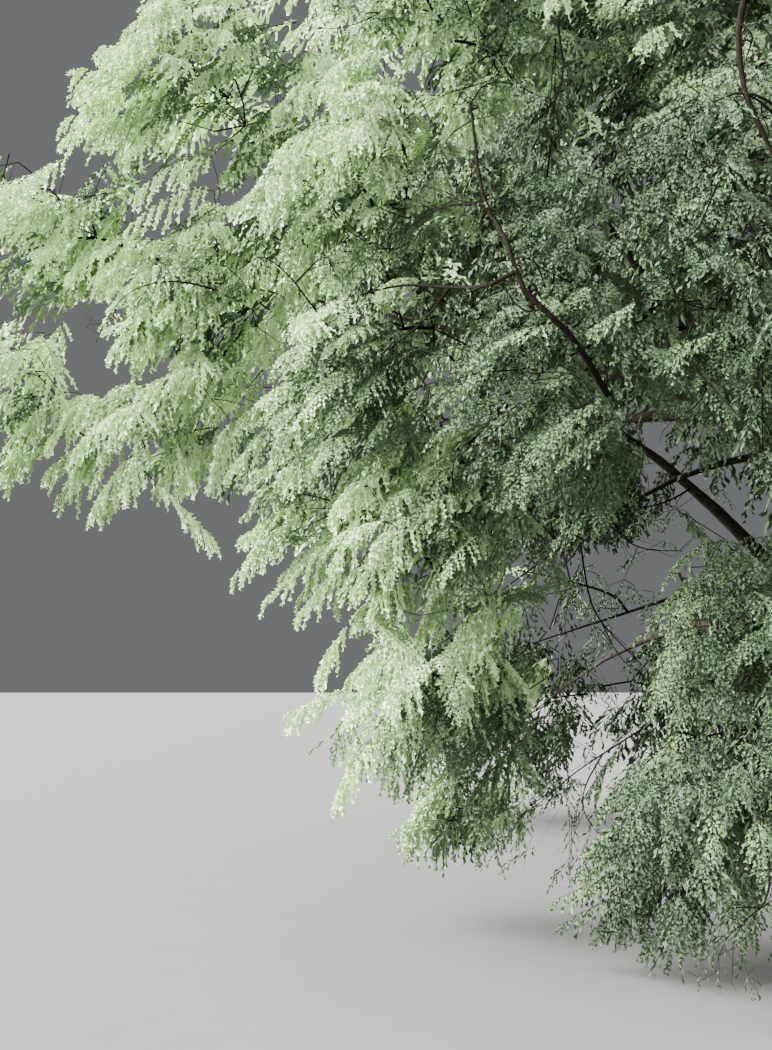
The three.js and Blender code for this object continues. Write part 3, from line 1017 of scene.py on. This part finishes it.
def mottle(material, shader, colour, scale, strength, stretch=(1, 1, 1)):
    """Varies the colour a little by a noise in the object's own coordinates."""
    tree = material.node_tree
    place = tree.nodes.new("ShaderNodeTexCoord")
    mapping = tree.nodes.new("ShaderNodeMapping")
    mapping.inputs["Scale"].default_value = stretch
    pattern = tree.nodes.new("ShaderNodeTexNoise")
    pattern.inputs["Scale"].default_value = scale
    pattern.inputs["Detail"].default_value = 4
    colours = tree.nodes.new("ShaderNodeValToRGB")
    for element, at, change in zip(colours.color_ramp.elements, (0.3, 0.7), (1 - strength, 1 + strength)):
        element.position = at
        element.color = (*(min(1, value * change) for value in colour), 1)
    link(tree, place, "Object", mapping, "Vector")
    link(tree, mapping, "Vector", pattern, "Vector")
    link(tree, pattern, "Fac", colours, "Fac")
    link(tree, colours, "Color", shader, "Base Color")
    return pattern


def needle_material(name, colour):
    material, shader = new_material(name, colour, roughness=0.62, gloss=0.15)
    mottle(material, shader, colour, scale=9.0, strength=0.16)
    return material


def bark_material(name):
    colour, scale = BARKS[name]
    material, shader = new_material(name, colour, roughness=0.9, gloss=0.0)
    pattern = mottle(material, shader, colour, scale, strength=0.45, stretch=(1, 1, 0.25))
    tree = material.node_tree
    bump = tree.nodes.new("ShaderNodeBump")
    bump.inputs["Distance"].default_value = 0.006
    link(tree, pattern, "Fac", bump, "Height")
    link(tree, bump, "Normal", shader, "Normal")
    return material


# Needle colours: the tone up to which each is used. They are lit and shaded copies of one needle colour,
# as painted sun and shade.
TONES = {
    "inner": (0.0, (0.032, 0.050, 0.025)),
    "deep": (0.30, (0.067, 0.106, 0.051)),
    "middle": (0.48, (0.135, 0.206, 0.097)),
    "pale": (0.66, (0.366, 0.503, 0.250)),
    "bright": (9.0, (0.615, 0.790, 0.425)),
}


def tone_name(tone):
    return next(name for name, (highest, _) in TONES.items() if tone <= highest)


# The tree's pieces.


def needle_pieces(corners):
    """Joined meshes of the tufts of each colour, none too large."""
    for name, (_, colour) in TONES.items():
        material = needle_material(f"needles_{name}", colour)
        points = np.concatenate(corners[name])
        faces = len(points) // 3
        parts = np.array_split(np.arange(faces), math.ceil(faces / PIECE_LIMIT))
        for part, rows in enumerate(parts, start=1):
            chunk = points[rows[0] * 3:(rows[-1] + 1) * 3]
            triangles = np.arange(len(chunk)).reshape(-1, 3)
            piece = make_piece(f"needles_{name}_{part}", chunk, triangles, material)
            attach(piece, "root")
            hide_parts(*MASSES)


def curve(start, first, second, end):
    """A smooth line between two ends, pulled towards two places."""
    share = np.linspace(0, 1, WHIP_MESH[0])[:, None]
    back = 1 - share
    line = back ** 3 * start + 3 * back ** 2 * share * first
    return line + 3 * back * share ** 2 * second + share ** 3 * end


def smoothed(line):
    """One round of corner cutting that keeps the ends."""
    inner = np.stack([0.75 * line[:-1] + 0.25 * line[1:], 0.25 * line[:-1] + 0.75 * line[1:]], axis=1)
    return np.concatenate([line[:1], inner.reshape(-1, 3), line[-1:]])


def even_places(line, radii, count):
    run = run_of(line)
    at = np.linspace(0, run[-1], count)
    return places_at(at, run, line), np.interp(at, np.linspace(0, run[-1], len(radii)), radii)


def chain_radii(wood, chain, thickest):
    loads = [max(wood.loads[node], 1) for node in chain]
    if len(chain) > 1:
        loads[0] = loads[1]
    return np.minimum(TWIG_RADIUS * np.array(loads, float) ** LOAD_POWER, thickest)


def spray_tube(wood, spray, chain):
    """A chain of twigs and the axis of the spray at its end, as a line and radii."""
    line = np.concatenate([wood.places[chain], spray.axis(AXIS_SHARES)[0]])
    radii = np.concatenate([chain_radii(wood, chain, THICKEST_TWIG), AXIS_RADII])
    return smoothed(smoothed(line)), radii * spray.scale[0] ** SCALE_POWER


def twig_places(scale):
    return next(places for coarsest, _, _, places in DETAILS if scale <= coarsest)


def side_twig(line, row, radius, reach, turn=0.5, bend=0.12, taper=(0.4, 0.15)):
    """A crooked twig that leaves a line at one of its places, as a line and radii."""
    along = unit(line[row] - line[row - 1])
    ahead = unit(along + random.normal(0, turn, 3))
    bends = random.normal(0, bend, (2, 3)) * reach
    twig = line[row] + np.array([0.0, 0.3, 0.7, 1.0])[:, None] * ahead * reach
    twig[1:3] += bends
    return smoothed(smoothed(twig)), radius * np.array(taper)


def bare_branches(wood):
    """The branches seen bare, each grown on from the wood nearest to its start, with side twigs."""
    lines, side_twigs = [], []
    for radius, places in BARE_BRANCHES.values():
        points = from_photo(places)
        first = wood.nearest(points[0])
        line = smoothed(smoothed(np.concatenate([wood.places[[first]], points[1:]])))
        add_limb(wood, line[1:], first)
        lines.append((line, radius * np.linspace(*BRANCH_TAPER, len(line))))
        for _ in range(SIDE_TWIGS):
            row = random.integers(2, len(line) - 1)
            twig = side_twig(line, row, radius, random.uniform(*SIDE_TWIG_REACHES))
            side_twigs.append(twig)
            for _ in range(LAST_TWIGS):
                row = random.integers(2, len(twig[0]) - 1)
                reach = random.uniform(*LAST_TWIG_REACHES)
                side_twigs.append(side_twig(twig[0], row, radius * LAST_TWIG_RADIUS, reach))
    return lines, side_twigs


def sprigs(lines, spacing=0.16, size=0.6, share=0.4, fall=0.4):
    """Small sprays here and there on the side twigs of the bare branches."""
    places = np.concatenate([resampled(line, spacing)[1:] for line, _ in lines])
    places = places[random.random(len(places)) < share]
    around = unit(random.normal(0, 1, places.shape) + fall * DOWN)
    scale = np.full(len(places), size)
    tips = places + around * (between(LAST_TWIG_REACHES, len(places)))[:, None]
    # Painted shade: the sprigs are darker.
    return sprays_to(tips, around, scale, tones_of(places, around) - SPRIG_SHADE_TONE)


def whips(wood):
    """Thin bare twigs that arch over the foliage where it is seen close to."""
    lines = []
    for node in WHIPPED:
        places, normals = surface_samples(node, WHIP_DENSITY)
        scale = spray_scale(places - normals * SKIN)
        facing = np.sum(normals * unit(CAMERA_PLACE - places), axis=1)
        for row in np.flatnonzero((scale < FINE_SCALE) & (facing > WHIP_FACING)):
            place, normal = places[row], normals[row]
            start = wood.places[wood.nearest(place - normal * WHIP_ROOT)]
            tangent = random.normal(0, 1, 3) + WHIP_FALL * DOWN
            tangent = unit(tangent - normal * (tangent @ normal))
            reach = random.uniform(*WHIP_LENGTHS)
            bend = np.cross(tangent, normal) * random.normal(0, WHIP_BEND) * reach
            out = place + WHIP_RISE * (place - start)
            line = curve(start, out, place + tangent * reach * 0.5 + bend, place + tangent * reach)
            lines.append((line, np.linspace(*WHIP_RADII, len(line))))
    return lines


def tube_piece(name, lines, places, sides, material):
    pairs = [even_places(line, radii, places) for line, radii in lines]
    paths = np.array([pair[0] for pair in pairs])
    radii = np.array([pair[1] for pair in pairs])
    paths[:, :, 2] = np.maximum(paths[:, :, 2], LOWEST + radii)
    points, faces = tubes(paths, radii, sides)
    piece = make_piece(name, points, faces, material, smooth=True)
    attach(piece, "root")
    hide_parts(*MASSES)


def relief(points, scale, grain=2.3, share=0.5, gain=2.2):
    """A ridge height from 0 to 1 at each point."""
    values = np.array([noise.noise(Vector(point) * scale) for point in points])
    finer = np.array([noise.noise(Vector(point) * scale * grain) for point in points])
    return np.clip(np.abs(values + share * finer) * gain, 0, 1)


def bark_tube(centres, radii, sides, rings, depth, scale, stretch=0.8, full=0.15):
    """A limb with furrowed bark along a centre line."""
    share = np.linspace(0, 1, len(centres))
    fine = np.linspace(0, 1, rings)
    line = places_at(fine, share, centres)
    girth = np.interp(fine, share, radii)
    points, faces = tubes(line[None], girth[None], sides)
    out = unit(points - np.repeat(line, sides, axis=0))
    along = unit(centres[-1] - centres[0])
    run = (points @ along)[:, None] * along
    furrow = 1 - relief(points - run * stretch, scale)
    inset = depth * np.minimum(1, np.repeat(girth, sides) / full) * furrow
    points = points - out * inset[:, None]
    points[:, 2] = np.maximum(points[:, 2], 0)
    return points, faces


def end_taper(radii, most=0.85, power=1.2):
    """Radii that narrow over the last part of a bough, to go on as a branch."""
    share = np.linspace(0, 1, len(radii))
    return radii * (1 - most * share ** power)


def limb_pieces(lines, bough_bark):
    bark = bark_material("bark")
    points, faces = bark_tube(TRUNK_LINE, TRUNK_RADII, *TRUNK_MESH, *TRUNK_RELIEF)
    points[:TRUNK_MESH[0], 2] = 0
    trunk = make_piece("trunk_bark", points, faces, bark, smooth=True)
    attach(trunk, "root")
    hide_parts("trunk")
    for node, (centres, radii) in lines.items():
        points, faces = bark_tube(centres, end_taper(radii), *BOUGH_MESH, *BOUGH_RELIEF)
        # Painted shade: boughs out of the sun get the darker bark.
        is_sunlit = node in SUNLIT_BOUGHS
        piece = make_piece(f"{node}_bark", points, faces, bark if is_sunlit else bough_bark, smooth=True)
        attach(piece, "root")
        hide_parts(node)


def build_tree():
    lines = {node: limb_line(node) for node in BOUGHS}
    wood = limb_wood([line[0] for line in lines.values()])
    middles = {node: node_shape(node)[0].mean(0) for node in MASSES}
    order = sorted(MASSES, key=lambda node: np.hypot(*middles[node][:2]))
    corners = {name: [] for name in TONES}
    leaders, twigs = [], []

    def finish_sprays(sprays, chains):
        twigs.extend((sprays, row, chain) for row, chain in chains)
        names = np.array([tone_name(tone) for tone in sprays.tone])
        for name in TONES:
            corners[name].append(needles(sprays.pick(names == name)))

    def finish_near(sprays):
        finish_sprays(sprays, grow_near(wood, sprays))

    for number, node in enumerate(order):
        reseed(number)
        sprays = mass_sprays(node)
        leader, chains = grow_mass(wood, node, sprays)
        leaders.append(leader)
        finish_sprays(sprays, chains)
        standing = plumes(node)
        if standing is not None:
            finish_near(standing)
    reseed(LIMB_DRAWS)
    for node in BOUGHS:
        finish_near(limb_sprays(lines[node][0]))
    reseed(FILLING_DRAWS)
    finish_near(filling_sprays())
    reseed(PHOTO_DRAWS)
    finish_near(photo_plumes())
    branches, side_twigs = bare_branches(wood)
    finish_near(sprigs(side_twigs))

    bough_bark = bark_material("bough_bark")
    shaded_twig_bark = bark_material("shaded_twig_bark")
    limb_pieces(lines, bough_bark)
    reseed(WHIP_DRAWS)
    leader_lines = [(smoothed(smoothed(wood.places[chain])), chain_radii(wood, chain, THICKEST_LEADER))
                    for chain in leaders]
    tube_piece("leaders", leader_lines, *LEADER_MESH, shaded_twig_bark)
    tube_piece("bare_branches", branches, *BRANCH_MESH, shaded_twig_bark)
    tube_piece("side_twigs", side_twigs, *SIDE_TWIG_MESH, shaded_twig_bark)
    tube_piece("whips", whips(wood), *WHIP_MESH, shaded_twig_bark)
    batches = {}
    for sprays, row, chain in twigs:
        spray = sprays.pick([row])
        line, radii = spray_tube(wood, spray, chain)
        length = norm(np.diff(line, axis=0), axis=1).sum()
        by_length = min(MOST_TWIG_PLACES, 1 + int(length / LONGEST_STRAIGHT))
        places = max(twig_places(spray.scale[0]), by_length)
        batches.setdefault(places, []).append((line, radii))
    for places, batch in sorted(batches.items()):
        tube_piece(f"twigs_{places}", batch, places, TWIG_SIDES, shaded_twig_bark)
    needle_pieces(corners)


# The studio.


def build_floor(radius=600.0, sides=180, colour=(0.115, 0.113, 0.110)):
    material, shader = new_material("floor", colour, roughness=0.95, gloss=0.15)
    mottle(material, shader, colour, scale=3.0, strength=0.03)
    turn = np.arange(sides) * 2 * math.pi / sides
    rim = radius * np.stack([np.cos(turn), np.sin(turn), np.zeros(sides)], axis=1)
    floor = make_piece("floor", rim, np.arange(sides)[None], material)


def add_sun(name, direction, strength, width, distance=40):
    """Light from a far, wide source in the given direction from the tree."""
    data = bpy.data.lights.new(name, "SUN")
    data.energy = strength
    data.angle = math.radians(width)
    light = bpy.data.objects.new(name, data)
    light.location = Vector(direction).normalized() * distance
    light.rotation_euler = Vector(direction).to_track_quat("Z", "Y").to_euler()
    bpy.context.scene.collection.objects.link(light)


def build_lights(sky=(0.60, 0.61, 0.62, 1), strength_of_sky=0.27):
    add_sun("key", (-1.0, 0.15, 0.55), strength=42.0, width=70)
    add_sun("front_fill", (-0.3, -1.0, 0.5), strength=5.5, width=140)
    add_sun("back_fill", (0.6, 0.8, 0.6), strength=4.0, width=120)
    world = bpy.data.worlds.new("studio")
    world.use_nodes = True
    background = world.node_tree.nodes["Background"]
    background.inputs["Color"].default_value = sky
    background.inputs["Strength"].default_value = strength_of_sky
    bpy.context.scene.world = world


def build_camera():
    data = bpy.data.cameras.new("camera")
    data.lens = CAMERA_LENS
    data.sensor_width = SENSOR
    camera = bpy.data.objects.new("camera", data)
    camera.location = CAMERA_PLACE
    camera.rotation_euler = (math.pi / 2 + CAMERA_PITCH, 0, 0)
    bpy.context.scene.collection.objects.link(camera)
    bpy.context.scene.camera = camera


build_camera()
build_lights()
build_floor()
build_tree()
